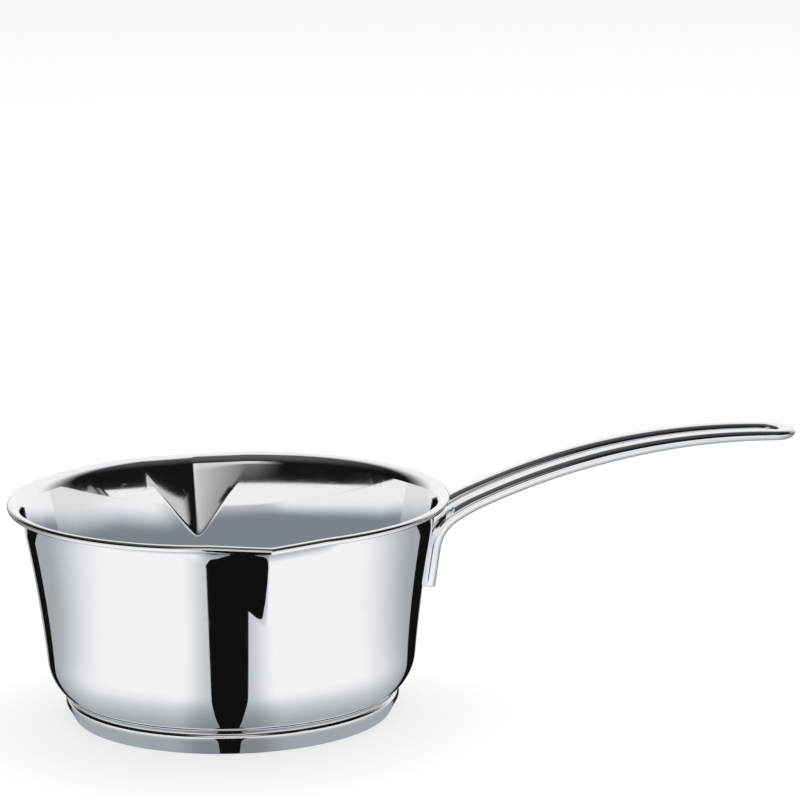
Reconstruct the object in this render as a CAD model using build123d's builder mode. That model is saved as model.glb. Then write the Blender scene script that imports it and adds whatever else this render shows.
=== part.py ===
from build123d import *

import os
from math import acos, atan2, cos, degrees, hypot, radians, sin, sqrt, tan

# Milk pan: a flared steel vessel with two pressed pouring lips and a rolled rim, an aluminium
# disc sealed in a steel cap under its floor, and a handle bent from one rod and welded on.
# Z is up. The origin is the centre of the base on the table. The handle points to +X and the
# lips face +Y and -Y. Small rounds are drawn in straight runs, which keeps the facets few.

os.makedirs("parts", exist_ok=True)

# Vessel
pan_height = 86.0
rim_diameter = 172.0
floor_flat_diameter = 106.2
floor_height = 6.0
corner_radius = 19.0
corner_run_count = 4
wall_curve_radius = 540.0
wall_run_count = 3
sheet = 0.8
floor_disc_radius = 30.0
floor_lap = 4.0

# Rolled rim
bead_diameter = 2.9
bead_run_count = 6
flare_radius = 5.7
flare_end_angle = 16.5
flare_run_count = 2

# Pouring lips
lip_half_angle = 15.0
lip_depth = 33.0
lip_dip = 1.0
lip_round_share = 0.12
lip_section_shares = (0, 0.08, 0.2, 0.4, 0.68, 1)

# Capsule base
base_overhang = 8.9
base_edge_radius = 1.2
base_edge_run_count = 2
shoulder_overhang = 3.8
shoulder_height = 7.0
shoulder_radius = 2.5
shoulder_run_count = 2
seam_height = 9.5
cap_sheet = 0.6

# Handle rod
rod_diameter = 6.0
rod_sides = 16
rod_spacing = 16.5
leg_foot_height = 44.3
leg_length = 18.6
leg_seat_depth = 0.25
leg_edge_chamfer = 0.4
bend_radius = 17.4
bend_end_angle = 31.1
bend_run_count = 6
neck_radius = 76.5
neck_end_angle = 21.2
neck_run_count = 2
handle_reach = 231.5
tip_end_angle = -3.3
tip_thickness = 4.4
grip_run_count = 7
flat_start_share = 0.42
turn_run_count = 5

# Spot welds under the legs
nugget_diameter = 2.2
nugget_sides = 12
nugget_depth = 0.6
nugget_clearance = 0.2
nugget_place_shares = (0.25, 0.62)


# Flat geometry, with points as distance from the pan's axis and height
def step(start, angle, length):
    return (start[0] + length * cos(radians(angle)), start[1] + length * sin(radians(angle)))


def bearing(start, end):
    return degrees(atan2(end[1] - start[1], end[0] - start[0]))


def distance(start, end):
    return hypot(end[0] - start[0], end[1] - start[1])


def circles_meet(centre_a, radius_a, centre_b, radius_b, side):
    # side is 1 for the point left of the way from a to b, and -1 for the one right of it
    gap = distance(centre_a, centre_b)
    turn = degrees(acos((radius_a**2 + gap**2 - radius_b**2) / (2 * radius_a * gap)))
    return step(centre_a, bearing(centre_a, centre_b) + side * turn, radius_a)


def arc_points(centre, start, turn, runs):
    # the points of an arc that leaves start and turns about the centre, start included
    first = bearing(centre, start)
    radius = distance(centre, start)
    return [step(centre, first + turn * k / runs, radius) for k in range(runs + 1)]


def short_arc(centre, start, end, runs):
    turn = (bearing(centre, end) - bearing(centre, start) + 180) % 360 - 180
    return arc_points(centre, start, turn, runs)


def round_corner(before, corner, after, radius, runs):
    # the points of the arc that rounds a corner of a convex outline drawn anticlockwise
    turn = bearing(corner, after) - bearing(before, corner)
    setback = radius * tan(radians(turn / 2))
    start = step(corner, bearing(corner, before), setback)
    centre = step(start, bearing(before, corner) + 90, radius)
    return arc_points(centre, start, turn, runs)


# The wall's curve is tangent to the bottom corner and to the flare under the rim
bead_radius = bead_diameter / 2
bead_centre = (rim_diameter / 2 - bead_radius, pan_height - bead_radius)
flare_centre = step(bead_centre, flare_end_angle - 90, flare_radius - bead_radius)
corner_centre = (floor_flat_diameter / 2, floor_height + corner_radius)
wall_inner_radius = wall_curve_radius + sheet
wall_centre = circles_meet(
    corner_centre,
    corner_radius + wall_curve_radius,
    flare_centre,
    wall_inner_radius - flare_radius,
    -1,
)
foot_bearing = bearing(corner_centre, wall_centre)
foot_outside = step(corner_centre, foot_bearing, corner_radius)
foot_inside = step(corner_centre, foot_bearing, corner_radius - sheet)
corner_outside = (corner_centre[0], floor_height)
corner_inside = (corner_centre[0], floor_height + sheet)
wall_top_bearing = bearing(wall_centre, flare_centre)
wall_top_height = step(wall_centre, wall_top_bearing, wall_curve_radius)[1]

# The roll runs from the flare's underside, under and over the bead, to the end of the flare
roll_start = circles_meet(bead_centre, bead_radius, flare_centre, flare_radius - sheet, -1)
roll_end = step(bead_centre, 90 + flare_end_angle, bead_radius)
roll_turn = bearing(bead_centre, roll_end) + 360 - bearing(bead_centre, roll_start)


def wall_point(height, radius):
    # a point of the wall's outer curve, or of its inner curve with the larger radius
    return (wall_centre[0] - sqrt(radius**2 - (height - wall_centre[1]) ** 2), height)


def flank_touch(start, centre, radius):
    # where a straight flank from the wall runs into the flare
    turn = degrees(acos(radius / distance(centre, start)))
    return step(centre, bearing(centre, start) - turn, radius)


def fold_height(share):
    # where the flank of a lip leaves the wall, from the crease at 0 to the round rim at 1
    rounded = sqrt(share**2 + lip_round_share**2) - lip_round_share
    climb = rounded / (sqrt(1 + lip_round_share**2) - lip_round_share)
    lip_bottom = pan_height - lip_depth
    return lip_bottom + climb * (wall_top_height - sheet - lip_bottom)


def outside_points(top_height):
    # the vessel's outer skin from the flat of the floor up the wall
    top = wall_point(top_height, wall_curve_radius)
    corner = short_arc(corner_centre, corner_outside, foot_outside, corner_run_count)
    return corner + short_arc(wall_centre, foot_outside, top, wall_run_count)[1:]


def inside_points(top_height):
    top = wall_point(top_height, wall_inner_radius)
    corner = short_arc(corner_centre, corner_inside, foot_inside, corner_run_count)
    return corner + short_arc(wall_centre, foot_inside, top, wall_run_count)[1:]


def section_points(share):
    # The pan's section from the flat of its floor, round the rim and back. The share is 0 at
    # a lip's crease and 1 where the lip's flank touches the round rim.
    turn = radians(lip_half_angle * (1 - share))
    out = bead_centre[0] * (1 / cos(turn) - 1)
    down = lip_dip * (1 - share)

    def shifted(point):
        return (point[0] + out, point[1] - down)

    outside = outside_points(fold_height(share))
    inside = inside_points(fold_height(share))
    centre = shifted(flare_centre)
    touch_outside = flank_touch(outside[-1], centre, flare_radius - sheet)
    touch_inside = flank_touch(inside[-1], centre, flare_radius)
    under = short_arc(centre, touch_outside, shifted(roll_start), flare_run_count)
    roll = arc_points(shifted(bead_centre), shifted(roll_start), roll_turn, bead_run_count)
    over = short_arc(centre, shifted(roll_end), touch_inside, flare_run_count)
    points = [(floor_disc_radius, floor_height)] + outside + under + roll[1:] + over[1:]
    return points + inside[::-1] + [(floor_disc_radius, floor_height + sheet)]


def radial_plane(angle):
    along = (cos(radians(angle)), sin(radians(angle)), 0)
    return Plane(origin=(0, 0, 0), x_dir=along, z_dir=(along[1], -along[0], 0))


# Pan body: a quarter from the lip's crease at +Y to the handle at +X, its mirrors, and the
# middle of the floor
with BuildPart() as pan_body:
    with BuildSketch(Plane.XZ):
        with BuildLine():
            Polyline(*section_points(1), close=True)
        make_face()
    revolve(axis=Axis.Z, revolution_arc=90 - lip_half_angle)
    for share in lip_section_shares:
        with BuildSketch(radial_plane(90 - share * lip_half_angle)):
            with BuildLine():
                Polyline(*section_points(share), close=True)
            make_face()
    loft(ruled=True)
    mirror(about=Plane.XZ)
    mirror(about=Plane.YZ)
    with BuildSketch(Plane.XY.offset(floor_height)):
        Circle(floor_disc_radius + floor_lap)
    extrude(amount=sheet)
pan_body.part.label = "pan_body"
export_step(pan_body.part, "parts/pan_body.step")

# The space inside the vessel's outer skin, which shapes what seats against it
skin_points = outside_points(fold_height(1))
with BuildPart() as vessel_form:
    with BuildSketch(Plane.XZ):
        with BuildLine():
            Polyline((0, floor_height), *skin_points, (0, fold_height(1)), close=True)
        make_face()
    revolve(axis=Axis.Z)

# Capsule: its outer form, and the same form inside the cap's sheet
seam_drop = corner_centre[1] - seam_height
seam_point = (corner_centre[0] + sqrt(corner_radius**2 - seam_drop**2), seam_height)
base_corner = (floor_flat_diameter / 2 + base_overhang, 0)
shoulder = (base_corner[0] + shoulder_overhang, shoulder_height)
base_edge = round_corner((0, 0), base_corner, shoulder, base_edge_radius, base_edge_run_count)
shoulder_edge = round_corner(base_corner, shoulder, seam_point, shoulder_radius, shoulder_run_count)
half_outline = base_edge + shoulder_edge + [seam_point]
half_inside = [base_corner, shoulder, seam_point]


def both_sides(points):
    return points + [(-x, height) for x, height in points[::-1]]


with BuildPart() as capsule_inside:
    with BuildSketch(Plane.XZ):
        Polygon(*both_sides(half_inside), align=None)
        offset(amount=-cap_sheet, kind=Kind.INTERSECTION)
        split(bisect_by=Plane.YZ)
    revolve(axis=Axis.Z)

with BuildPart() as core_disc:
    add(capsule_inside.part)
    add(vessel_form.part, mode=Mode.SUBTRACT)
core_disc.part.label = "core_disc"
export_step(core_disc.part, "parts/core_disc.step")

with BuildPart() as base_cap:
    with BuildSketch(Plane.XZ):
        Polygon(*both_sides(half_outline), align=None)
        split(bisect_by=Plane.YZ)
    revolve(axis=Axis.Z)
    add(capsule_inside.part, mode=Mode.SUBTRACT)
    add(vessel_form.part, mode=Mode.SUBTRACT)
base_cap.part.label = "base_cap"
export_step(base_cap.part, "parts/base_cap.step")

# The rod's side line lies in the plane of one leg, where the wall stands a little further in
rod_plane = Plane.XZ.offset(rod_spacing / 2)


def wall_in_rod_plane(height):
    for below, above in zip(skin_points, skin_points[1:]):
        if below[1] <= height <= above[1]:
            share = (height - below[1]) / (above[1] - below[1])
            radius = below[0] + share * (above[0] - below[0])
    return (sqrt(radius**2 - (rod_spacing / 2) ** 2), height)


leg_low = wall_in_rod_plane(leg_foot_height)
leg_high = wall_in_rod_plane(leg_foot_height + leg_length)
leg_rise = bearing(leg_low, leg_high)
leg_stand_off = rod_diameter / 2 - leg_seat_depth
leg_start = step(leg_low, leg_rise - 90, leg_stand_off)
neck_turn = bend_end_angle - neck_end_angle
grip_turn = neck_end_angle - tip_end_angle

with BuildLine(rod_plane) as side_line:
    leg = Line(leg_start, step(leg_start, leg_rise, leg_length))
    bend = JernArc(leg @ 1, leg % 1, bend_radius, bend_end_angle - leg_rise)
    neck = JernArc(bend @ 1, bend % 1, neck_radius, -neck_turn)
    tip_centre = handle_reach - (rod_spacing + rod_diameter) / 2 * cos(radians(tip_end_angle))
    grip_run = tip_centre - (neck @ 1).X
    grip_radius = grip_run / (sin(radians(neck_end_angle)) - sin(radians(tip_end_angle)))
    grip = JernArc(neck @ 1, neck % 1, grip_radius, -grip_turn)


# Half of the rod in short spans, from the leg's chamfered end along the side, where the round
# rod flattens, through a quarter turn at the tip: each section's plane, width and thickness
def rod_plane_at(centre, across, along):
    return Plane(origin=centre, x_dir=across, z_dir=along)


side = Vector(0, 1, 0)
end_width = rod_diameter - 2 * leg_edge_chamfer
edge_share = leg_edge_chamfer / leg_length
rod_sections = [
    (rod_plane_at(leg @ 0, side, leg % 0), end_width, end_width),
    (rod_plane_at(leg @ edge_share, side, leg % 0), rod_diameter, rod_diameter),
]
for arc, runs in ((bend, bend_run_count), (neck, neck_run_count)):
    for k in range(runs):
        plane = rod_plane_at(arc @ (k / runs), side, arc % (k / runs))
        rod_sections.append((plane, rod_diameter, rod_diameter))
for k in range(grip_run_count + 1):
    share = k / grip_run_count
    flat = max(0, share - flat_start_share) / (1 - flat_start_share)
    thickness = rod_diameter - flat * (rod_diameter - tip_thickness)
    rod_sections.append((rod_plane_at(grip @ share, side, grip % share), rod_diameter, thickness))
tip_middle = Vector((grip @ 1).X, 0, (grip @ 1).Z)
tip_along = grip % 1
for k in range(1, turn_run_count + 1):
    turn = radians(90 * k / turn_run_count)
    across = side * cos(turn) - tip_along * sin(turn)
    along = tip_along * cos(turn) + side * sin(turn)
    plane = rod_plane_at(tip_middle - across * (rod_spacing / 2), across, along)
    rod_sections.append((plane, rod_diameter, tip_thickness))

# Spot weld nuggets, square to the wall, two under each leg
outward = (sin(radians(leg_rise)), 0, -cos(radians(leg_rise)))
with BuildPart() as nugget_blanks:
    for place_share in nugget_place_shares:
        wall_x, wall_z = wall_in_rod_plane(leg_foot_height + place_share * leg_length)
        inner_end = (
            wall_x + nugget_clearance * outward[0],
            -rod_spacing / 2,
            wall_z + nugget_clearance * outward[2],
        )
        with BuildSketch(Plane(origin=inner_end, x_dir=(0, 1, 0), z_dir=outward)):
            RegularPolygon(nugget_diameter / 2, nugget_sides)
        extrude(amount=nugget_depth)
    mirror(about=Plane.XZ)

# Handle loop: the half rod and its mirror, seated on the wall over the nuggets
with BuildPart() as handle_loop:
    for plane, width, thickness in rod_sections:
        turns = [radians(360 * k / rod_sides) for k in range(rod_sides)]
        with BuildSketch(plane):
            Polygon(*[(width / 2 * cos(turn), thickness / 2 * sin(turn)) for turn in turns], align=None)
    loft(ruled=True)
    mirror(about=Plane.XZ)
    add(vessel_form.part, mode=Mode.SUBTRACT)
    add(nugget_blanks.part, mode=Mode.SUBTRACT)
handle_loop.part.label = "handle_loop"
export_step(handle_loop.part, "parts/handle_loop.step")

with BuildPart() as weld_nuggets:
    add(nugget_blanks.part)
weld_nuggets.part.label = "weld_nuggets"
export_step(weld_nuggets.part, "parts/weld_nuggets.step")
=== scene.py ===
from math import acos, atan2, cos, degrees, hypot, pi, radians, sin, sqrt, tan

import bpy
from mathutils import Matrix, Vector


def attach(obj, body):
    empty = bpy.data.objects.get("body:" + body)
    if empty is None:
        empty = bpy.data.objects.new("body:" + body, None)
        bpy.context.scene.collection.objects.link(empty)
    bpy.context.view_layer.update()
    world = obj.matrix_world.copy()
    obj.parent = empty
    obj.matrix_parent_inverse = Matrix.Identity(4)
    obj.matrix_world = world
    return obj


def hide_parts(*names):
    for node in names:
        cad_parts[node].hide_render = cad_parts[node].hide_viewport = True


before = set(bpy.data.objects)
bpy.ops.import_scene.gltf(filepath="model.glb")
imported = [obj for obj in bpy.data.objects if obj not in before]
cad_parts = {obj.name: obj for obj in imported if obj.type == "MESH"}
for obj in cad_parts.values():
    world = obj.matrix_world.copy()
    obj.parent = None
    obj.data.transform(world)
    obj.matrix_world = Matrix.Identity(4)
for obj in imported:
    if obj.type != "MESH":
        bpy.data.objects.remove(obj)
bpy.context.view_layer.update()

# A polished milk pan with two pressed pouring lips, a capsule base and a bent rod handle.
# Metres, Z up. The handle points to +X and the lips face +Y and -Y.


# Meshes

def newObject(name, data):
    piece = bpy.data.objects.new(name, data)
    bpy.context.scene.collection.objects.link(piece)
    return piece


def meshFrom(name, points, faces, smooth=True):
    mesh = bpy.data.meshes.new(name)
    mesh.from_pydata(points, [], faces)
    mesh.polygons.foreach_set("use_smooth", [smooth] * len(mesh.polygons))
    mesh.update()
    return mesh


def storeFloats(mesh, name, values):
    layer = mesh.attributes.new(name, "FLOAT", "POINT")
    layer.data.foreach_set("value", values)


def lathe(name, outline, turns):
    # outline runs from pole to pole as (radius, height), turns are angles in degrees from +X
    points, rows = [], []
    for radius, height in outline:
        if radius == 0:
            rows.append([len(points)])
            points.append((0, 0, height))
            continue
        rows.append([len(points) + k for k in range(len(turns))])
        points += [(radius * cos(radians(turn)), radius * sin(radians(turn)), height) for turn in turns]
    faces, uvs = [], []
    count = len(turns)
    for k in range(len(rows) - 1):
        low, high = rows[k], rows[k + 1]
        for j in range(count):
            n = (j + 1) % count
            left, right = j / count, (j + 1) / count
            below, above = k / (len(rows) - 1), (k + 1) / (len(rows) - 1)
            if len(low) == 1:
                faces.append((low[0], high[n], high[j]))
                uvs += [((left + right) / 2, below), (right, above), (left, above)]
            elif len(high) == 1:
                faces.append((low[j], low[n], high[0]))
                uvs += [(left, below), (right, below), ((left + right) / 2, above)]
            else:
                faces.append((low[j], low[n], high[n], high[j]))
                uvs += [(left, below), (right, below), (right, above), (left, above)]
    mesh = meshFrom(name, points, faces)
    layer = mesh.uv_layers.new(name="aroundAlong")
    layer.data.foreach_set("uv", [value for uv in uvs for value in uv])
    return mesh, rows


# Flat geometry of the section: points are (radius, height)

def step(start, angle, length):
    return (start[0] + length * cos(radians(angle)), start[1] + length * sin(radians(angle)))


def bearing(start, end):
    return degrees(atan2(end[1] - start[1], end[0] - start[0]))


def arcRun(centre, start, turn, count):
    first = bearing(centre, start)
    radius = hypot(start[0] - centre[0], start[1] - centre[1])
    return [step(centre, first + turn * k / count, radius) for k in range(count + 1)]


def shortTurn(centre, start, end):
    return (bearing(centre, end) - bearing(centre, start) + 180) % 360 - 180


def circlesMeet(centreA, radiusA, centreB, radiusB, side):
    gap = hypot(centreB[0] - centreA[0], centreB[1] - centreA[1])
    turn = degrees(acos((radiusA**2 + gap**2 - radiusB**2) / (2 * radiusA * gap)))
    return step(centreA, bearing(centreA, centreB) + side * turn, radiusA)


def roundCorner(before, corner, after, radius, count):
    # the points of the round that replaces the corner, from one straight side to the other
    turn = (bearing(corner, after) - bearing(before, corner) + 180) % 360 - 180
    setback = radius * abs(tan(radians(turn / 2)))
    start = step(corner, bearing(corner, before), setback)
    side = 90 if turn > 0 else -90
    centre = step(start, bearing(before, corner) + side, radius)
    return arcRun(centre, start, turn, count)


def insetCorner(before, corner, after, inset):
    # the corner of the same outline drawn that much further in, to the left of its way round
    first, second = radians(bearing(before, corner) + 90), radians(bearing(corner, after) + 90)
    share = inset / (1 + cos(first - second))
    return (corner[0] + share * (cos(first) + cos(second)), corner[1] + share * (sin(first) + sin(second)))


# Node trees

def addNode(tree, kind, inputs=None, **settings):
    node = tree.nodes.new(kind)
    for key, value in settings.items():
        setattr(node, key, value)
    for key, value in (inputs or {}).items():
        socket = node.inputs[key]
        if isinstance(value, bpy.types.NodeSocket):
            tree.links.new(value, socket)
        else:
            socket.default_value = value
    return node


def calc(tree, operation, *values):
    node = addNode(tree, "ShaderNodeMath", dict(enumerate(values)), operation=operation)
    return node.outputs[0]


def product(tree, *values):
    result = values[0]
    for value in values[1:]:
        result = calc(tree, "MULTIPLY", result, value)
    return result


def lengthOf(tree, across, along):
    squares = [calc(tree, "POWER", value, 2) for value in (across, along)]
    return calc(tree, "SQRT", calc(tree, "ADD", *squares))


def spread(tree, value, fromLow, fromHigh, toLow, toHigh, kind="LINEAR"):
    node = addNode(tree, "ShaderNodeMapRange", {0: value, 1: fromLow, 2: fromHigh, 3: toLow, 4: toHigh})
    node.interpolation_type = kind
    return node.outputs[0]


def ease(tree, value, fromLow, fromHigh, toLow, toHigh):
    return spread(tree, value, fromLow, fromHigh, toLow, toHigh, "SMOOTHSTEP")


def noise(tree, vector, scale, detail, roughness=0.5):
    return addNode(tree, "ShaderNodeTexNoise",
                   {"Vector": vector, "Scale": scale, "Detail": detail, "Roughness": roughness})


def addSocket(tree, name, direction, kind, value=None):
    socket = tree.interface.new_socket(name, in_out=direction, socket_type=kind)
    if value is not None:
        socket.default_value = value
    return socket


def runTree(piece, tree, values):
    # evaluates the tree on the piece and returns the plain mesh that it gives
    modifier = piece.modifiers.new(tree.name, "NODES")
    modifier.node_group = tree
    sockets = {item.name: item.identifier for item in tree.interface.items_tree if item.in_out == "INPUT"}
    for name, value in values.items():
        modifier[sockets[name]] = value
    bpy.context.view_layer.update()
    shaped = piece.evaluated_get(bpy.context.evaluated_depsgraph_get())
    mesh = bpy.data.meshes.new_from_object(shaped)
    piece.modifiers.remove(modifier)
    return mesh


def finishTree(tree, shaped, given, result):
    realized = addNode(tree, "GeometryNodeRealizeInstances", {"Geometry": shaped.outputs[0]})
    coated = addNode(tree, "GeometryNodeSetMaterial",
                     {"Geometry": realized.outputs[0], "Material": given["Material"]})
    tree.links.new(coated.outputs[0], result.inputs["Geometry"])


# Shared shader effects

def makeGroup(name, inputs, outputs):
    group = bpy.data.node_groups.new(name, "ShaderNodeTree")
    addSocket(group, "Vector", "INPUT", "NodeSocketVector")
    for key, value in inputs.items():
        addSocket(group, key, "INPUT", "NodeSocketFloat", value)
    for key in outputs:
        addSocket(group, key, "OUTPUT", "NodeSocketFloat")
    return group, group.nodes.new("NodeGroupInput").outputs, group.nodes.new("NodeGroupOutput").inputs


def polishGroup():
    # fine turned lines round the piece and a slow waviness of the pressed sheet
    group, given, result = makeGroup(
        "turnedPolish", {"Line Scale": 900.0, "Wave Scale": 14.0, "Line Share": 0.3}, ("Height", "Lines"))
    parts = addNode(group, "ShaderNodeSeparateXYZ", {0: given["Vector"]}).outputs
    across = calc(group, "ADD", lengthOf(group, parts[0], parts[1]), parts[2])
    lineAt = addNode(group, "ShaderNodeCombineXYZ", {0: product(group, across, given["Line Scale"])})
    lines = noise(group, lineAt.outputs[0], 1.0, 4.0).outputs[0]
    wave = noise(group, given["Vector"], given["Wave Scale"], 1.0).outputs[0]
    mixed = calc(group, "ADD", product(group, lines, given["Line Share"]), wave)
    group.links.new(mixed, result["Height"])
    group.links.new(lines, result["Lines"])
    return group


marksLook = {
    "driftScale": 9.0, "driftAmount": 0.02, "scratchWidth": 0.02,
    "patchScale": 60.0, "patchFrom": 0.6, "patchTo": 0.68,
    "smearRoughness": 0.7, "smearFrom": 0.35, "smearTo": 0.75,
}


def handlingGroup(look):
    # hairline scratches and the faint smears that wiping leaves
    group, given, result = makeGroup(
        "handlingMarks", {"Scratch Scale": 260.0, "Smear Scale": 22.0}, ("Scratches", "Smears"))
    drift = noise(group, given["Vector"], look["driftScale"], 1.0).outputs["Color"]
    softened = addNode(group, "ShaderNodeVectorMath", {0: drift, "Scale": look["driftAmount"]},
                       operation="SCALE")
    bent = addNode(group, "ShaderNodeVectorMath", {0: given["Vector"], 1: softened.outputs[0]},
                   operation="ADD")
    cells = addNode(group, "ShaderNodeTexVoronoi",
                    {"Vector": bent.outputs[0], "Scale": given["Scratch Scale"]}, feature="DISTANCE_TO_EDGE")
    fine = spread(group, cells.outputs["Distance"], 0.0, look["scratchWidth"], 1.0, 0.0)
    sparse = noise(group, given["Vector"], look["patchScale"], 2.0).outputs[0]
    few = spread(group, sparse, look["patchFrom"], look["patchTo"], 0.0, 1.0)
    smears = noise(group, given["Vector"], given["Smear Scale"], 6.0, look["smearRoughness"]).outputs[0]
    group.links.new(product(group, fine, few), result["Scratches"])
    group.links.new(spread(group, smears, look["smearFrom"], look["smearTo"], 0.0, 1.0), result["Smears"])
    return group


polish = polishGroup()
handling = handlingGroup(marksLook)


def placeGroup(tree, group, inputs):
    node = tree.nodes.new("ShaderNodeGroup")
    node.node_tree = group
    for key, value in inputs.items():
        if isinstance(value, bpy.types.NodeSocket):
            tree.links.new(value, node.inputs[key])
        else:
            node.inputs[key].default_value = value
    return node


def tintBy(tree, share, dark, light):
    mix = addNode(tree, "ShaderNodeMix", {0: share, 6: (*dark, 1), 7: (*light, 1)}, data_type="RGBA")
    return mix.outputs[2]


steels = {
    "polishedSteel": {"colour": (0.865, 0.872, 0.88), "mark": (0.80, 0.81, 0.82), "smooth": 0.02,
                      "dull": 0.07, "lineScale": 2600.0, "lineShare": 0.02, "waveScale": 16.0, "bump": 0.02,
                      "scratchScale": 240.0, "smearScale": 24.0},
    "capSteel": {"colour": (0.80, 0.81, 0.82), "mark": (0.70, 0.71, 0.72), "smooth": 0.06, "dull": 0.14,
                 "lineScale": 1900.0, "lineShare": 0.12, "waveScale": 10.0, "bump": 0.03,
                 "scratchScale": 200.0, "smearScale": 30.0},
    "handleSteel": {"colour": (0.86, 0.868, 0.876), "mark": (0.78, 0.79, 0.80), "smooth": 0.03, "dull": 0.09,
                    "lineScale": 700.0, "lineShare": 0.03, "waveScale": 40.0, "bump": 0.02,
                    "scratchScale": 420.0, "smearScale": 60.0},
    "coreAluminium": {"colour": (0.72, 0.73, 0.74), "mark": (0.6, 0.61, 0.62), "smooth": 0.28, "dull": 0.42,
                      "lineScale": 1500.0, "lineShare": 0.6, "waveScale": 30.0, "bump": 0.1,
                      "scratchScale": 300.0, "smearScale": 60.0},
    "weldSteel": {"colour": (0.6, 0.59, 0.57), "mark": (0.35, 0.33, 0.3), "smooth": 0.3, "dull": 0.5,
                  "lineScale": 400.0, "lineShare": 0.1, "waveScale": 900.0, "bump": 0.2,
                  "scratchScale": 900.0, "smearScale": 500.0},
}


wear = {
    "scratchTint": 0.6, "smearTint": 0.25, "smearRough": 0.7, "lineRough": 0.3, "scratchDepth": 0.2,
    "bumpDistance": 0.0004,
}
lean = {
    "start": 0.0755, "curve": 20.0, "lipStart": 0.0768, "lipCurve": 55.0, "lipFull": 13.0, "lipGone": 21.0,
}


def rimLean(tree, place):
    # the height of a bump by which the outer skin's shading leans out gently below the flare, later but
    # faster where the lips are pressed; the mesh itself does not lean
    parts = addNode(tree, "ShaderNodeSeparateXYZ", {0: place}).outputs
    aside = calc(tree, "ARCTAN2", calc(tree, "ABSOLUTE", parts[0]), calc(tree, "ABSOLUTE", parts[1]))
    atLip = ease(tree, calc(tree, "DEGREES", aside), lean["lipFull"], lean["lipGone"], 1.0, 0.0)
    curve = spread(tree, atLip, 0.0, 1.0, lean["curve"], lean["lipCurve"])
    start = spread(tree, atLip, 0.0, 1.0, lean["start"], lean["lipStart"])
    rise = calc(tree, "MAXIMUM", calc(tree, "SUBTRACT", parts[2], start), 0.0)
    inner = addNode(tree, "ShaderNodeAttribute", attribute_name="inner").outputs["Fac"]
    return product(tree, calc(tree, "POWER", rise, 2), curve, calc(tree, "SUBTRACT", 1.0, inner))


def steelMaterial(name):
    values = steels[name]
    material = bpy.data.materials.new(name)
    material.use_nodes = True
    tree = material.node_tree
    shader = tree.nodes["Principled BSDF"]
    shader.inputs["Metallic"].default_value = 1.0
    place = addNode(tree, "ShaderNodeTexCoord").outputs["Object"]
    turned = placeGroup(tree, polish, {"Vector": place, "Line Scale": values["lineScale"],
                                       "Wave Scale": values["waveScale"], "Line Share": values["lineShare"]})
    marks = placeGroup(tree, handling, {"Vector": place, "Scratch Scale": values["scratchScale"],
                                        "Smear Scale": values["smearScale"]})
    scratches, smears = marks.outputs["Scratches"], marks.outputs["Smears"]
    worn = calc(tree, "ADD", product(tree, scratches, wear["scratchTint"]),
                product(tree, smears, wear["smearTint"]))
    tree.links.new(tintBy(tree, worn, values["colour"], values["mark"]), shader.inputs["Base Color"])
    uneven = calc(tree, "ADD", product(tree, smears, wear["smearRough"]),
                  product(tree, turned.outputs["Lines"], wear["lineRough"]))
    rough = spread(tree, uneven, 0.0, 1.0, values["smooth"], values["dull"])
    tree.links.new(rough, shader.inputs["Roughness"])
    height = calc(tree, "SUBTRACT", turned.outputs["Height"], product(tree, scratches, wear["scratchDepth"]))
    bump = addNode(tree, "ShaderNodeBump",
                   {"Height": height, "Strength": values["bump"], "Distance": wear["bumpDistance"]})
    if name == "polishedSteel":
        leaning = addNode(tree, "ShaderNodeBump",
                          {"Height": rimLean(tree, place), "Strength": 1.0, "Distance": 1.0})
        tree.links.new(leaning.outputs[0], bump.inputs["Normal"])
    tree.links.new(bump.outputs[0], shader.inputs["Normal"])
    return material


materials = {name: steelMaterial(name) for name in steels}
print("materials made:", ", ".join(materials))


# Vessel: a spun and rolled sheet, then the two lips pressed into it

vessel = {
    "height": 0.086, "rimRadius": 0.086, "sheet": 0.0008,
    "floorFlat": 0.0531, "floorHeight": 0.006, "cornerRadius": 0.019, "wallCurve": 0.540,
    "bead": 0.00145, "flareRadius": 0.0057, "flareEnd": 16.5,
    "lipHalfAngle": 15.0, "lipDepth": 0.033, "lipDip": 0.001, "lipRound": 0.12,
    "creaseRound": 0.30, "creaseSink": 0.4,
    "lipReach": 16.0, "lipStep": 0.4, "plainStep": 1.5,
    "floorRows": 5, "cornerRows": 16, "wallRows": 22, "flankRows": 12, "flareRows": 8, "rollRows": 22,
    "sameGap": 1e-7,
}
keptZone, wallZone, flankZone, flareZone, rollZone = range(5)


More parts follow.
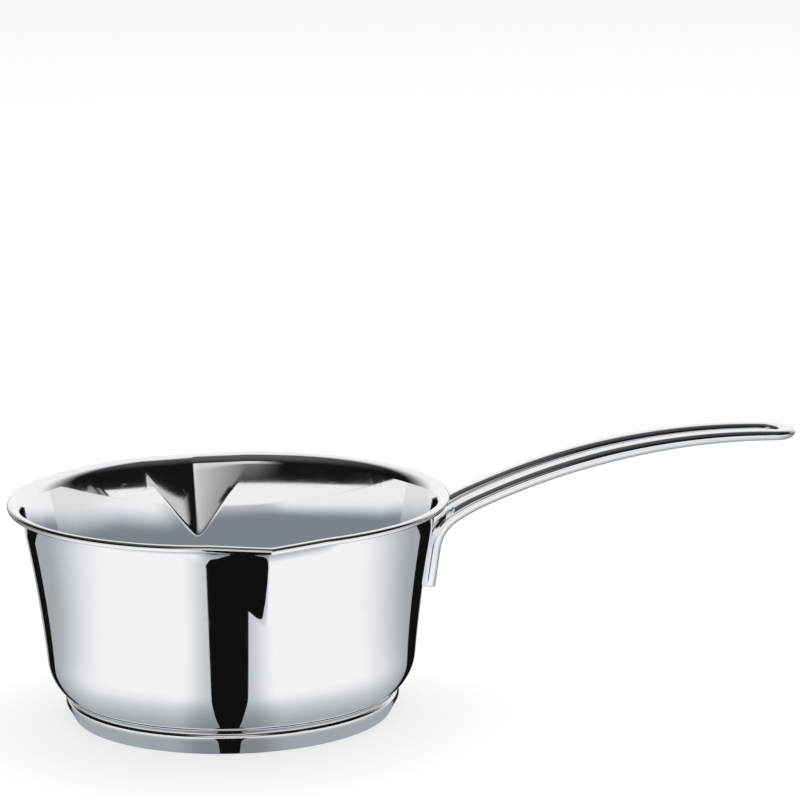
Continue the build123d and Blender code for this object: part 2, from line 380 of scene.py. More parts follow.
def vesselSection(v):
    # the round section from the middle of the underside, round the rim, to the middle of the floor,
    # as (point, zone, share of the way through the zone's run, 1 inside and 0 outside)
    bead = (v["rimRadius"] - v["bead"], v["height"] - v["bead"])
    flare = step(bead, v["flareEnd"] - 90, v["flareRadius"] - v["bead"])
    corner = (v["floorFlat"], v["floorHeight"] + v["cornerRadius"])
    wall = circlesMeet(corner, v["cornerRadius"] + v["wallCurve"], flare,
                       v["wallCurve"] + v["sheet"] - v["flareRadius"], -1)
    foot = bearing(corner, wall)
    foldTop = step(wall, bearing(wall, flare), v["wallCurve"])[1] - v["sheet"]
    rollStart = circlesMeet(bead, v["bead"], flare, v["flareRadius"] - v["sheet"], -1)
    rollEnd = step(bead, 90 + v["flareEnd"], v["bead"])

    def put(points, run, zone, inner):
        for k, point in enumerate(run):
            if not points or hypot(point[0] - points[-1][0][0], point[1] - points[-1][0][1]) > v["sameGap"]:
                points.append((point, zone, k / (len(run) - 1), inner))

    def side(inner):
        lift = v["sheet"] if inner else 0
        cornerR = v["cornerRadius"] - lift
        wallR = v["wallCurve"] + lift
        flareR = v["flareRadius"] - (0 if inner else v["sheet"])
        low = (corner[0], corner[1] - cornerR)
        footPoint = step(corner, foot, cornerR)
        fold = (wall[0] - sqrt(wallR**2 - (foldTop - wall[1])**2), foldTop)
        gap = hypot(fold[0] - flare[0], fold[1] - flare[1])
        touch = step(flare, bearing(flare, fold) - degrees(acos(flareR / gap)), flareR)
        end = rollEnd if inner else rollStart
        floorRun = [(corner[0] * k / v["floorRows"], low[1]) for k in range(v["floorRows"] + 1)]
        cornerRun = arcRun(corner, low, shortTurn(corner, low, footPoint), v["cornerRows"])
        wallRun = arcRun(wall, footPoint, shortTurn(wall, footPoint, fold), v["wallRows"])
        flankRun = [(fold[0] + (touch[0] - fold[0]) * k / v["flankRows"],
                     fold[1] + (touch[1] - fold[1]) * k / v["flankRows"]) for k in range(v["flankRows"] + 1)]
        flareRun = arcRun(flare, touch, shortTurn(flare, touch, end), v["flareRows"])
        return zip((floorRun, cornerRun, wallRun, flankRun, flareRun),
                   (keptZone, keptZone, wallZone, flankZone, flareZone))

    points, back = [], []
    for run, zone in side(0):
        put(points, run, zone, 0)
    rollTurn = bearing(bead, rollEnd) + 360 - bearing(bead, rollStart)
    put(points, arcRun(bead, rollStart, rollTurn, v["rollRows"]), rollZone, 1)
    for run, zone in side(1):
        put(back, run, zone, 1)
    points += back[-2::-1]
    return points, {"bead": bead, "flare": flare, "wall": wall, "foot": foot, "foldTop": foldTop,
                    "corner": corner, "rollStart": rollStart, "rollEnd": rollEnd}


def vesselTurns(v):
    # close columns at the lips, one of them on each crease, and wider ones elsewhere
    turns = []
    for start in (90, 270):
        count = round(2 * v["lipReach"] / v["lipStep"])
        turns += [start - v["lipReach"] + 2 * v["lipReach"] * k / count for k in range(count)]
        span = 180 - 2 * v["lipReach"]
        count = round(span / v["plainStep"])
        turns += [start + v["lipReach"] + span * k / count for k in range(count)]
    return turns


def pressLipsTree(marks):
    # moves each point of the spun sheet to where the press leaves it
    tree = bpy.data.node_groups.new("pressLips", "GeometryNodeTree")
    addSocket(tree, "Geometry", "INPUT", "NodeSocketGeometry")
    for name in ("Half Angle", "Lip Bottom", "Dip", "Fold Round", "Crease Round", "Crease Sink", "Fold Top",
                 "Rim Radius", "Foot Angle", "Corner Radius", "Wall Curve", "Flare Radius", "Sheet"):
        addSocket(tree, name, "INPUT", "NodeSocketFloat")
    addSocket(tree, "Material", "INPUT", "NodeSocketMaterial")
    addSocket(tree, "Geometry", "OUTPUT", "NodeSocketGeometry")
    given = tree.nodes.new("NodeGroupInput").outputs
    result = tree.nodes.new("NodeGroupOutput")

    def m(operation, *values):
        return calc(tree, operation, *values)

    def length(across, along):
        return lengthOf(tree, across, along)

    def between(start, end, share):
        return m("ADD", start, m("MULTIPLY", share, m("SUBTRACT", end, start)))

    def stored(name):
        return addNode(tree, "GeometryNodeInputNamedAttribute", {"Name": name}).outputs["Attribute"]

    def pick(zone, value, other):
        same = m("COMPARE", stored("zone"), zone, 0.1)  # zones are whole numbers
        return m("ADD", m("MULTIPLY", value, same), m("MULTIPLY", other, m("SUBTRACT", 1, same)))

    # how far this column is from the crease, and what the press does there
    position = addNode(tree, "GeometryNodeInputPosition").outputs[0]
    place = addNode(tree, "ShaderNodeSeparateXYZ", {0: position}).outputs
    radius = length(place[0], place[1])
    off = m("ARCTAN2", m("ABSOLUTE", place[0]), m("ABSOLUTE", place[1]))
    rounded = m("SUBTRACT", length(off, given["Crease Round"]),
                m("MULTIPLY", given["Crease Round"], given["Crease Sink"]))
    share = m("MINIMUM", m("DIVIDE", rounded, given["Half Angle"]), 1)
    turn = m("MULTIPLY", given["Half Angle"], m("SUBTRACT", 1, share))
    out = m("MULTIPLY", given["Rim Radius"], m("SUBTRACT", m("DIVIDE", 1, m("COSINE", turn)), 1))
    down = m("MULTIPLY", given["Dip"], m("SUBTRACT", 1, share))
    full = m("SUBTRACT", length(1, given["Fold Round"]), given["Fold Round"])
    climb = m("DIVIDE", m("SUBTRACT", length(share, given["Fold Round"]), given["Fold Round"]), full)
    fold = between(given["Lip Bottom"], given["Fold Top"], climb)

    # the wall up to the fold, on the outer or the inner skin
    inner = stored("inner")
    along = stored("along")
    lift = m("MULTIPLY", inner, given["Sheet"])
    wallR = m("ADD", given["Wall Curve"], lift)
    flareR = m("SUBTRACT", given["Flare Radius"], m("SUBTRACT", given["Sheet"], lift))
    footHeight = m("ADD", marks["corner"][1], m("MULTIPLY", m("SUBTRACT", given["Corner Radius"], lift),
                                                m("SINE", given["Foot Angle"])))

    def wallAt(height):
        rise = m("SUBTRACT", height, marks["wall"][1])
        return m("SUBTRACT", marks["wall"][0],
                 m("SQRT", m("SUBTRACT", m("POWER", wallR, 2), m("POWER", rise, 2))))

    wallHeight = between(footHeight, fold, along)
    wallRadius = wallAt(wallHeight)
    foldRadius = wallAt(fold)

    # the straight flank touches the flare's round, which moves out and down with the rim
    flareX = m("ADD", marks["flare"][0], out)
    flareZ = m("SUBTRACT", marks["flare"][1], down)
    dx = m("SUBTRACT", foldRadius, flareX)
    dz = m("SUBTRACT", fold, flareZ)
    touch = m("SUBTRACT", m("ARCTAN2", dz, dx), m("ARCCOSINE", m("DIVIDE", flareR, length(dx, dz))))
    touch = m("ADD", touch, m("MULTIPLY", m("LESS_THAN", touch, 0), 2 * pi))
    touchX = m("ADD", flareX, m("MULTIPLY", flareR, m("COSINE", touch)))
    touchZ = m("ADD", flareZ, m("MULTIPLY", flareR, m("SINE", touch)))
    flankX = between(foldRadius, touchX, along)
    flankZ = between(fold, touchZ, along)
    ends = [radians(bearing(marks["flare"], marks[name]) % 360) for name in ("rollStart", "rollEnd")]
    end = m("ADD", ends[0], m("MULTIPLY", inner, ends[1] - ends[0]))
    angle = between(touch, end, along)
    bendX = m("ADD", flareX, m("MULTIPLY", flareR, m("COSINE", angle)))
    bendZ = m("ADD", flareZ, m("MULTIPLY", flareR, m("SINE", angle)))

    newRadius, newHeight = radius, place[2]
    for zone, zoneRadius, zoneHeight in ((rollZone, m("ADD", radius, out), m("SUBTRACT", place[2], down)),
                                         (flareZone, bendX, bendZ), (flankZone, flankX, flankZ),
                                         (wallZone, wallRadius, wallHeight)):
        newRadius = pick(zone, zoneRadius, newRadius)
        newHeight = pick(zone, zoneHeight, newHeight)
    grow = m("DIVIDE", newRadius, m("MAXIMUM", radius, 1e-6))  # the poles have no radius
    moved = addNode(tree, "ShaderNodeCombineXYZ",
                    {0: m("MULTIPLY", place[0], grow), 1: m("MULTIPLY", place[1], grow), 2: newHeight})
    shaped = addNode(tree, "GeometryNodeSetPosition",
                     {"Geometry": given["Geometry"], "Position": moved.outputs[0]})
    finishTree(tree, shaped, given, result)
    return tree


def makeVessel(v):
    section, marks = vesselSection(v)
    mesh, rows = lathe("vessel", [point for point, zone, along, inner in section], vesselTurns(v))
    for column, name in enumerate(("zone", "along", "inner"), 1):
        values = [0.0] * len(mesh.vertices)
        for row, mark in zip(rows, section):
            for k in row:
                values[k] = mark[column]
        storeFloats(mesh, name, values)
    piece = newObject("vessel", mesh)
    piece.data = runTree(piece, pressLipsTree(marks), {
        "Half Angle": radians(v["lipHalfAngle"]), "Lip Bottom": v["height"] - v["lipDepth"],
        "Dip": v["lipDip"], "Fold Round": v["lipRound"], "Crease Round": radians(v["creaseRound"]),
        "Crease Sink": v["creaseSink"], "Fold Top": marks["foldTop"], "Rim Radius": marks["bead"][0],
        "Foot Angle": radians(marks["foot"]), "Corner Radius": v["cornerRadius"],
        "Wall Curve": v["wallCurve"], "Flare Radius": v["flareRadius"], "Sheet": v["sheet"],
        "Material": materials["polishedSteel"]})
    return piece, marks


vesselPiece, vesselMarks = makeVessel(vessel)
print("vessel made:", len(vesselPiece.data.polygons), "faces")


# Capsule base: the steel cap pressed over the aluminium disc

cap = {
    "baseRadius": 0.062, "edgeRadius": 0.0012, "shoulderRadius": 0.0658, "shoulderHeight": 0.007,
    "shoulderRound": 0.0025, "seamHeight": 0.0095, "sheet": 0.0006,
    "columns": 240, "bottomRows": 8, "edgeRows": 8, "sideRows": 3, "sideEnd": 0.5, "shoulderRows": 12,
}


def makeCap(c, v):
    corner = (v["floorFlat"], v["floorHeight"] + v["cornerRadius"])

    def vesselAt(height):
        return (corner[0] + sqrt(v["cornerRadius"]**2 - (corner[1] - height)**2), height)

    low, shoulder = (c["baseRadius"], 0), (c["shoulderRadius"], c["shoulderHeight"])
    seam = vesselAt(c["seamHeight"])
    bottom = [(low[0] * k / c["bottomRows"], 0) for k in range(c["bottomRows"])]
    edge = roundCorner((0, 0), low, shoulder, c["edgeRadius"], c["edgeRows"])
    (x, z), side = edge[-1], []
    for k in range(1, c["sideRows"] + 1):
        share = c["sideEnd"] * k / c["sideRows"]
        side.append((x + (shoulder[0] - x) * share, z + (shoulder[1] - z) * share))
    top = roundCorner(low, shoulder, seam, c["shoulderRound"], c["shoulderRows"])
    under = vesselAt(seam[1] - c["sheet"] / cos(radians(180 - bearing(shoulder, seam))))
    innerTop = insetCorner(low, shoulder, seam, c["sheet"])
    innerLow = insetCorner((0, 0), low, shoulder, c["sheet"])
    outline = bottom + edge + side + top + [seam, under, innerTop, innerLow, (0, c["sheet"])]
    turns = [360 * k / c["columns"] for k in range(c["columns"])]
    piece = newObject("capsuleCap", lathe("capsuleCap", outline, turns)[0])
    piece.data.materials.append(materials["capSteel"])
    return piece


capPiece = makeCap(cap, vessel)
print("cap made:", len(capPiece.data.polygons), "faces")


# Handle: one rod, bent along a path and flattened towards the tip

rod = {
    "diameter": 0.006, "spacing": 0.0165, "legFoot": 0.0473, "legLength": 0.0156, "seat": 0.00025,
    "endRound": 0.0004, "bendRadius": 0.0174, "bendEnd": 31.1, "neckRadius": 0.0765, "neckEnd": 21.2,
    "reach": 0.2315, "tipEnd": -3.3, "tipThickness": 0.0044, "flatStart": 0.42,
    "ringSides": 40, "endRows": 4, "legRows": 7, "bendRows": 20, "neckRows": 8, "gripRows": 44,
    "turnRows": 24,
}


def rodPath(r, v, marks):
    # the rod's middle line as (point, width, thickness), one half first and then its mirror image
    def wallX(height):
        out = marks["wall"][0] - sqrt(v["wallCurve"]**2 - (height - marks["wall"][1])**2)
        return sqrt(out**2 - (r["spacing"] / 2)**2)

    low = (wallX(r["legFoot"]), r["legFoot"])
    high = (wallX(r["legFoot"] + r["legLength"]), r["legFoot"] + r["legLength"])
    rise = bearing(low, high)
    start = step(low, rise - 90, r["diameter"] / 2 - r["seat"])
    line = []
    for k in range(r["endRows"] + 1):
        turn = radians(90 * k / r["endRows"])
        inset = r["endRound"] * (1 - sin(turn))
        line.append((step(start, rise, r["endRound"] * (1 - cos(turn))), r["diameter"] - 2 * inset))
    for k in range(1, r["legRows"]):
        up = r["endRound"] + (r["legLength"] - r["endRound"]) * k / r["legRows"]
        line.append((step(start, rise, up), r["diameter"]))
    bendStart = step(start, rise, r["legLength"])
    bendCentre = step(bendStart, rise - 90, r["bendRadius"])
    bend = arcRun(bendCentre, bendStart, r["bendEnd"] - rise, r["bendRows"])
    neckCentre = step(bend[-1], r["bendEnd"] - 90, r["neckRadius"])
    neck = arcRun(neckCentre, bend[-1], r["neckEnd"] - r["bendEnd"], r["neckRows"])
    tipMiddle = r["reach"] - (r["spacing"] + r["diameter"]) / 2 * cos(radians(r["tipEnd"]))
    gripRadius = (tipMiddle - neck[-1][0]) / (sin(radians(r["neckEnd"])) - sin(radians(r["tipEnd"])))
    gripCentre = step(neck[-1], r["neckEnd"] - 90, gripRadius)
    grip = arcRun(gripCentre, neck[-1], r["tipEnd"] - r["neckEnd"], r["gripRows"])
    line += [(point, r["diameter"]) for point in bend + neck[1:]]
    half = [((point[0], -r["spacing"] / 2, point[1]), width, width) for point, width in line]
    for k, point in enumerate(grip[1:], 1):
        flat = max(0, k / r["gripRows"] - r["flatStart"]) / (1 - r["flatStart"])
        thickness = r["diameter"] - flat * (r["diameter"] - r["tipThickness"])
        half.append(((point[0], -r["spacing"] / 2, point[1]), r["diameter"], thickness))
    tip = grip[-1]
    onward = (cos(radians(r["tipEnd"])), sin(radians(r["tipEnd"])))
    for k in range(1, r["turnRows"] + 1):
        turn = radians(90 * k / r["turnRows"])
        ahead, aside = r["spacing"] / 2 * sin(turn), r["spacing"] / 2 * cos(turn)
        point = (tip[0] + ahead * onward[0], -aside, tip[1] + ahead * onward[1])
        half.append((point, r["diameter"], r["tipThickness"]))
    return half + [((x, -y, z), width, thick) for (x, y, z), width, thick in half[-2::-1]]


def bendRodTree():
    # sweeps a ring along the line and squashes it to the stored width and thickness
    tree = bpy.data.node_groups.new("bendRod", "GeometryNodeTree")
    addSocket(tree, "Geometry", "INPUT", "NodeSocketGeometry")
    addSocket(tree, "Ring Sides", "INPUT", "NodeSocketInt")
    addSocket(tree, "Material", "INPUT", "NodeSocketMaterial")
    addSocket(tree, "Geometry", "OUTPUT", "NodeSocketGeometry")
    given = tree.nodes.new("NodeGroupInput").outputs
    result = tree.nodes.new("NodeGroupOutput")
    line = addNode(tree, "GeometryNodeMeshToCurve", {0: given["Geometry"]})
    upright = addNode(tree, "GeometryNodeSetCurveNormal", {"Curve": line.outputs[0]})
    upright.mode = "Z_UP"
    kept = tree.nodes.new("GeometryNodeCaptureAttribute")
    kept.domain = "POINT"
    for name, source in (("centre", "GeometryNodeInputPosition"), ("across", "GeometryNodeInputNormal"),
                         ("ahead", "GeometryNodeInputTangent")):
        kept.capture_items.new("VECTOR", name)
        tree.links.new(addNode(tree, source).outputs[0], kept.inputs[name])
    tree.links.new(upright.outputs[0], kept.inputs[0])
    ring = addNode(tree, "GeometryNodeCurvePrimitiveCircle",
                   {"Resolution": given["Ring Sides"], "Radius": 1.0})
    tube = addNode(tree, "GeometryNodeCurveToMesh",
                   {"Curve": kept.outputs[0], "Profile Curve": ring.outputs[0], "Fill Caps": True})

    def vector(operation, first, second):
        node = addNode(tree, "ShaderNodeVectorMath", {0: first, 1: second}, operation=operation)
        return node.outputs["Value" if operation == "DOT_PRODUCT" else "Vector"]

    def along(direction, measure):
        # the ring's unit offset in this direction, times half the stored measure
        stored = addNode(tree, "GeometryNodeInputNamedAttribute", {"Name": measure}).outputs["Attribute"]
        amount = product(tree, vector("DOT_PRODUCT", offset, direction), product(tree, stored, 0.5))
        node = addNode(tree, "ShaderNodeVectorMath", {0: direction, "Scale": amount}, operation="SCALE")
        return node.outputs["Vector"]

    centre, across, ahead = (kept.outputs[name] for name in ("centre", "across", "ahead"))
    up = vector("CROSS_PRODUCT", ahead, across)
    offset = vector("SUBTRACT", addNode(tree, "GeometryNodeInputPosition").outputs[0], centre)
    moved = vector("ADD", centre, vector("ADD", along(across, "width"), along(up, "thickness")))
    shaped = addNode(tree, "GeometryNodeSetPosition", {"Geometry": tube.outputs[0], "Position": moved})
    smooth = addNode(tree, "GeometryNodeSetShadeSmooth", {"Geometry": shaped.outputs[0]})
    finishTree(tree, smooth, given, result)
    return tree


def makeRod(r, v, marks):
    path = rodPath(r, v, marks)
    mesh = bpy.data.meshes.new("handleRod")
    steps = [(k, k + 1) for k in range(len(path) - 1)]
    mesh.from_pydata([point for point, width, thick in path], steps, [])
    storeFloats(mesh, "width", [width for point, width, thick in path])
    storeFloats(mesh, "thickness", [thick for point, width, thick in path])
    piece = newObject("handleRod", mesh)
    piece.data = runTree(piece, bendRodTree(),
                         {"Ring Sides": r["ringSides"], "Material": materials["handleSteel"]})
    return piece


rodPiece = makeRod(rod, vessel, vesselMarks)
print("rod made:", len(rodPiece.data.polygons), "faces")


# The disc and the weld nuggets stay as they are and take their finish

def coatNode(name, material):
    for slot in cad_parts[name].material_slots:
        slot.material = material


coatNode("core_disc", materials["coreAluminium"])
coatNode("weld_nuggets", materials["weldSteel"])

for piece, node, slot in ((vesselPiece, "pan_body", "vessel_steel"), (capPiece, "base_cap", "cap_steel"),
                          (rodPiece, "handle_loop", "handle_steel")):
    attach(piece, "root")
    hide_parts(node)


# Studio: what the mirror finish shows. Turns are in degrees from the camera's side

coolDark, coolLight = (0.91, 1.0, 1.10), (0.985, 1.0, 1.015)

# lookTurn is in degrees, lookDown and lookRoll in radians
cameraView = {
    "place": (-0.2255, -1.2748, 0.3712), "lookTurn": 13.0, "lookDown": 0.1896, "lookRoll": -0.0112,
    "lens": 153.0, "sensor": 36.0,
}
cameraTurn = degrees(atan2(cameraView["place"][1], cameraView["place"][0]))


def makeCamera(c):
    data = bpy.data.cameras.new("view")
    data.lens = c["lens"]
    data.sensor_width = c["sensor"]
    camera = newObject("view", data)
    turn = radians(c["lookTurn"])
    ahead = Vector((sin(turn), cos(turn), 0)) * cos(c["lookDown"]) - Vector((0, 0, sin(c["lookDown"])))
    right = Vector((cos(turn), -sin(turn), 0))
    up = right.cross(ahead)
    rolledRight = cos(c["lookRoll"]) * right + sin(c["lookRoll"]) * up
    rolledUp = cos(c["lookRoll"]) * up - sin(c["lookRoll"]) * right
    matrix = Matrix((rolledRight, rolledUp, -ahead)).transposed().to_4x4()
    matrix.translation = Vector(c["place"])
    camera.matrix_world = matrix
    bpy.context.scene.camera = camera


def polar(turn, radius, height):
    angle = radians(cameraTurn + turn)
    return (radius * cos(angle), radius * sin(angle), height)


def polarOf(tree):
    # radius, height and signed turn from the camera's side of the shaded point
    point = addNode(tree, "ShaderNodeTexCoord").outputs["Object"]
    place = addNode(tree, "ShaderNodeSeparateXYZ", {0: point}).outputs
    east, north = cos(radians(cameraTurn)), sin(radians(cameraTurn))
    ahead = calc(tree, "ADD", product(tree, place[0], east), product(tree, place[1], north))
    aside = calc(tree, "SUBTRACT", product(tree, place[1], east), product(tree, place[0], north))
    return lengthOf(tree, ahead, aside), place[2], calc(tree, "DEGREES", calc(tree, "ARCTAN2", aside, ahead))


def farFrom(tree, turn, middle):
    return calc(tree, "ABSOLUTE", calc(tree, "SUBTRACT", turn, middle))


def plainMaterial(name):
    material = bpy.data.materials.new(name)
    material.use_nodes = True
    tree = material.node_tree
    tree.nodes.remove(tree.nodes["Principled BSDF"])
    return material, tree, tree.nodes["Material Output"].inputs["Surface"]


def glowing(tree, colour, strength):
    return addNode(tree, "ShaderNodeEmission", {"Color": colour, "Strength": strength})


def mixShaders(tree, share, first, second):
    return addNode(tree, "ShaderNodeMixShader", {0: share, 1: first.outputs[0], 2: second.outputs[0]})


# Floor: white to the camera; what the mirror sees of it is a painted glow, with a painted shadow of the pan
# close to it, darker beyond the table and beside the black wedge

floorLook = {
    "size": 12.0, "colour": (0.9, 0.9, 0.9, 1), "glow": 0.7,
    "paintedShadowRadius": 0.066, "openRadius": 0.122, "paintedShadowLight": 0.46, "openLight": 1.04,
    "farFrom": 0.22, "farTo": 0.34, "farLight": 0.84,
    "endFrom": 0.42, "endTo": 0.75, "endLight": 0.12, "endSideFrom": 90.0, "endSideTo": 115.0,
    "sideFrom": 60.0, "sideTo": 114.0, "sideLight": 0.42, "backFrom": 143.0, "backTo": 158.0,
    "wedgeTurn": -1.5, "wedgeEdge": 8.0, "wedgeFade": 22.0, "wedgeLight": 0.62,
}


def makeFloor(f):
    half = f["size"] / 2
    mesh = meshFrom("floor", [(-half, -half, 0), (half, -half, 0), (half, half, 0), (-half, half, 0)],
                    [(0, 1, 2, 3)], smooth=False)
    floor = newObject("floor", mesh)
    material, tree, surface = plainMaterial("paleFloor")
    radius, height, turn = polarOf(tree)
    aside = calc(tree, "ABSOLUTE", turn)
    # painted shadow: in mirrors the floor is darker close to the pan, standing in for the pan's shadow
    paintedPanShadow = spread(tree, radius, f["paintedShadowRadius"], f["openRadius"], f["paintedShadowLight"], f["openLight"])
    far = ease(tree, radius, f["farFrom"], f["farTo"], 1.0, f["farLight"])
    ended = product(tree, ease(tree, radius, f["endFrom"], f["endTo"], 0.0, 1.0 - f["endLight"]),
                    spread(tree, aside, f["endSideFrom"], f["endSideTo"], 0.0, 1.0))
    side = ease(tree, aside, f["sideFrom"], f["sideTo"], 1.0, f["sideLight"])
    back = ease(tree, aside, f["backFrom"], f["backTo"], f["sideLight"], 1.0)
    wedge = farFrom(tree, turn, f["wedgeTurn"])
    beside = ease(tree, wedge, f["wedgeEdge"], f["wedgeFade"], f["wedgeLight"], 1.0)
    level = product(tree, paintedPanShadow, far, calc(tree, "SUBTRACT", 1.0, ended),
                    calc(tree, "MAXIMUM", side, back), beside)
    path = addNode(tree, "ShaderNodeLightPath").outputs
    mirrored = calc(tree, "MINIMUM", calc(tree, "ADD", path["Is Glossy Ray"], path["Is Transmission Ray"]), 1)
    plain = addNode(tree, "ShaderNodeBsdfDiffuse", {"Color": f["colour"]})
    white = addNode(tree, "ShaderNodeEmission", {"Strength": 1.0})
    # painted reflection: the floor in mirrors glows at this level, with the painted shadow in it
    paintedMirrorFloor = glowing(tree, tintBy(tree, level, coolDark, coolLight), level)
    direct = mixShaders(tree, product(tree, path["Is Camera Ray"], f["glow"]), plain, white)
    tree.links.new(mixShaders(tree, mirrored, direct, paintedMirrorFloor).outputs[0], surface)
    mesh.materials.append(material)


# Cards that only the mirror finish sees: a black wedge before the camera and a flag on each side

floorCards = {
    "height": 0.0004, "black": (0.006, 0.006, 0.006, 1),
    "wedgeApex": 0.046, "wedgeEnd": 0.6, "wedgeHalfAngle": 13.0,
    "flagLeft": ((0.066, -78.5), (0.318, -130.0), (0.309, -146.0), (0.0665, -87.0)),
    "flagRight": ((0.066, 81.0), (0.317, 125.0), (0.308, 151.0), (0.067, 93.0)),
}


def placeCard(name, points, faces, material):
    card = newObject(name, meshFrom(name, points, faces, smooth=False))
    card.data.materials.append(material)
    card.visible_camera = False
    card.visible_diffuse = False
    card.visible_shadow = False


def makeFloorCards(c, wedgeTurn):
    material, tree, surface = plainMaterial("blackCard")
    tree.links.new(glowing(tree, c["black"], 1.0).outputs[0], surface)
    apex = polar(wedgeTurn, c["wedgeApex"], c["height"])
    length = c["wedgeEnd"] - c["wedgeApex"]
    ends = [radians(cameraTurn + wedgeTurn + turn) for turn in (-c["wedgeHalfAngle"], c["wedgeHalfAngle"])]
    sides = [(apex[0] + length * cos(turn), apex[1] + length * sin(turn), c["height"]) for turn in ends]
    placeCard("blackWedge", [apex] + sides, [(0, 1, 2)], material)
    for name in ("flagLeft", "flagRight"):
        corners = [polar(turn, radius, c["height"]) for radius, turn in c[name]]
        placeCard(name, corners, [(0, 1, 2, 3)], material)
    return material


# Dome: a dark room above the table's edge, open to the light behind, with one soft box in front,
# a small bright patch to its right and a small flag before the box

dome = {
    "radius": 0.9, "lift": 0.072, "columns": 144, "rows": 30,
    "tableEdge": 10.8, "tableTurn": 0.68, "tableLow": 1.5,
    "dark": 0.008, "grey": 0.12, "greyFrom": 24.0, "greyTo": 80.0,
    "backMiddle": -12.0, "backDark": 112.0, "backLight": 154.0, "backTopFrom": 70.0, "backTopTo": 86.0,
    "boxTurn": -3.0, "boxHalf": 8.0, "boxSoft": 26.0, "boxLow": 10.3, "boxFull": 22.7, "boxHigh": 34.0,
    "boxTop": 6.0, "boxLight": 0.82, "boxWarm": (1.0, 0.985, 0.975),
    "patchTurn": 47.3, "patchHalf": 2.8, "patchSoft": 0.8, "patchFull": 14.6, "patchHigh": 16.6,
    "patchLight": 0.66,
    "flag": ((-9.9, 15.2), (-3.7, 10.4), (-3.3, 12.6), (-8.6, 16.2)), "flagRadius": 0.88,
}


def makeDome(d, black):
    def at(turn, lift, radius):
        return polar(turn, radius * cos(radians(lift)), d["lift"] + radius * sin(radians(lift)))

    material, tree, surface = plainMaterial("darkDome")
    columns, rows = d["columns"], d["rows"]
    points, faces = [], []
    for k in range(rows + 1):
        for j in range(columns):
            turn = 360 * j / columns - 180
            edge = d["tableEdge"] * cos(radians(min(90 / d["tableTurn"], abs(turn)) * d["tableTurn"]))
            low = max(d["tableLow"], edge)
            points.append(at(turn, low + (90 - low) * k / rows, d["radius"]))
    for k in range(rows):
        faces += [(k * columns + j, k * columns + (j + 1) % columns, (k + 1) * columns + (j + 1) % columns,
                   (k + 1) * columns + j) for j in range(columns)]
    radius, height, turn = polarOf(tree)
    lift = calc(tree, "DEGREES", calc(tree, "ARCTAN2", calc(tree, "SUBTRACT", height, d["lift"]), radius))
    dark = ease(tree, lift, d["greyFrom"], d["greyTo"], d["dark"], d["grey"])
    back = ease(tree, farFrom(tree, turn, d["backMiddle"]), d["backDark"], d["backLight"], 0.0, 1.0)
    behind = product(tree, back, ease(tree, lift, d["backTopFrom"], d["backTopTo"], 1.0, 0.0))
    aside = farFrom(tree, turn, d["boxTurn"])
    across = ease(tree, aside, d["boxHalf"], d["boxHalf"] + d["boxSoft"], 1.0, 0.0)
    low = spread(tree, lift, d["boxLow"], d["boxFull"], 0.0, 1.0)
    high = ease(tree, lift, d["boxHigh"], d["boxHigh"] + d["boxTop"], 1.0, 0.0)
    box = product(tree, product(tree, across, d["boxLight"]), product(tree, low, high))
    aside = farFrom(tree, turn, d["patchTurn"])
    patch = product(tree, ease(tree, aside, d["patchHalf"], d["patchHalf"] + d["patchSoft"], 1.0, 0.0),
                    ease(tree, lift, d["patchFull"], d["patchHigh"], d["patchLight"], 0.0))
    level = calc(tree, "MAXIMUM", calc(tree, "MAXIMUM", dark, behind), calc(tree, "MAXIMUM", box, patch))
    glow = glowing(tree, tintBy(tree, back, d["boxWarm"], coolLight), level)
    tree.links.new(glow.outputs[0], surface)
    placeCard("darkDome", points, faces, material)
    corners = [at(turn, lift, d["flagRadius"]) for turn, lift in d["flag"]]
    placeCard("highFlag", corners, [(0, 1, 2, 3)], black)


# Painted reflection inside the pan: a glowing card inside the wall, standing in for the light that the wall's
# inside passes from side to side, dimmer lower down, seen from inside only

paintedInnerReflection = {
    "columns": 120, "radius": 0.0792, "slope": 0.19, "low": 0.034, "high": 0.0853,
    "dark": 0.26, "bright": 0.98, "front": 0.60, "frontTurn": 8.0, "frontFrom": 34.0, "frontTo": 62.0,
    "back": 0.80, "backFrom": 100.0, "backTo": 142.0,
    "middleLeft": 0.069, "middleFront": 0.081, "middleRight": 0.0735, "middleRear": 0.066,
    "leftFrom": -150.0, "leftTo": -40.0, "rightFrom": 20.0, "rightTo": 55.0,
    "rearFrom": 100.0, "rearTo": 150.0,
    "spans": (0.0055, 0.0095), "spanFrom": 0.0, "spanTo": 55.0,
}


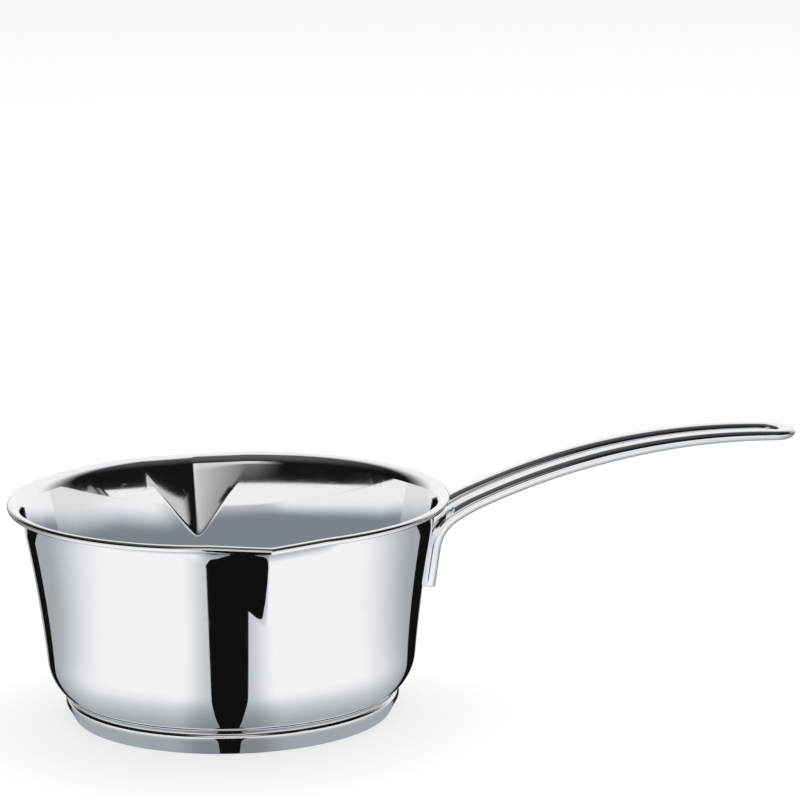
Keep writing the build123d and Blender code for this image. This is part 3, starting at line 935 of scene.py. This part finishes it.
def makePaintedInnerReflection(n):
    material, tree, surface = plainMaterial("paintedInnerGlow")
    columns = n["columns"]
    points = [polar(360 * j / columns, n["radius"] + n["slope"] * (height - n["high"]), height)
              for height in (n["low"], n["high"]) for j in range(columns)]
    faces = [(j, columns + j, columns + (j + 1) % columns, (j + 1) % columns) for j in range(columns)]
    radius, height, turn = polarOf(tree)
    front = ease(tree, farFrom(tree, turn, n["frontTurn"]), n["frontFrom"], n["frontTo"],
                 n["front"] - n["dark"], n["bright"] - n["dark"])
    back = spread(tree, turn, n["backFrom"], n["backTo"], 1.0, n["back"])
    right = spread(tree, turn, n["rearFrom"], n["rearTo"], n["middleRight"], n["middleRear"])
    left = spread(tree, turn, n["leftFrom"], n["leftTo"], n["middleLeft"], n["middleFront"])
    turned = spread(tree, turn, n["rightFrom"], n["rightTo"], 0.0, 1.0)
    middle = calc(tree, "ADD", left, product(tree, turned, calc(tree, "SUBTRACT", right, left)))
    span = spread(tree, turn, n["spanFrom"], n["spanTo"], *n["spans"])
    share = calc(tree, "DIVIDE", calc(tree, "SUBTRACT", height, middle), span)
    climb = ease(tree, share, -1.0, 1.0, 0.0, 1.0)
    # painted reflection: the card glows brighter higher up and darker low down
    strength = calc(tree, "ADD", product(tree, front, back, climb), n["dark"])
    glow = glowing(tree, tintBy(tree, climb, coolDark, coolLight), strength)
    clear = addNode(tree, "ShaderNodeBsdfTransparent")
    behind = addNode(tree, "ShaderNodeNewGeometry").outputs["Backfacing"]
    tree.links.new(mixShaders(tree, behind, glow, clear).outputs[0], surface)
    placeCard("paintedInnerGlow", points, faces, material)


lights = {"sky": 0.85, "lampPlace": (0.3, 0.6, 2.2), "lampSize": 2.5, "lampPower": 35.0}


def makeWorld(g):
    # white to the camera and in mirrors, a little less as light
    world = bpy.data.worlds.new("studio")
    world.use_nodes = True
    tree = world.node_tree
    light = tree.nodes["Background"]
    light.inputs["Color"].default_value = (1, 1, 1, 1)
    path = addNode(tree, "ShaderNodeLightPath").outputs
    mirrored = calc(tree, "ADD", path["Is Glossy Ray"], path["Is Transmission Ray"])
    seen = calc(tree, "MINIMUM", calc(tree, "ADD", path["Is Camera Ray"], mirrored), 1)
    tree.links.new(spread(tree, seen, 0.0, 1.0, g["sky"], 1.0), light.inputs["Strength"])
    bpy.context.scene.world = world


def makeLamp(g):
    data = bpy.data.lights.new("softLamp", "AREA")
    data.shape = "DISK"
    data.size = g["lampSize"]
    data.energy = g["lampPower"]
    lamp = newObject("softLamp", data)
    lamp.location = g["lampPlace"]
    lamp.rotation_euler = Vector(g["lampPlace"]).to_track_quat("Z", "Y").to_euler()
    lamp.visible_glossy = False


makeCamera(cameraView)
makeFloor(floorLook)
blackCard = makeFloorCards(floorCards, floorLook["wedgeTurn"])
makeDome(dome, blackCard)
makePaintedInnerReflection(paintedInnerReflection)
makeWorld(lights)
makeLamp(lights)
bpy.context.scene.view_settings.view_transform = "Standard"
print("studio made")
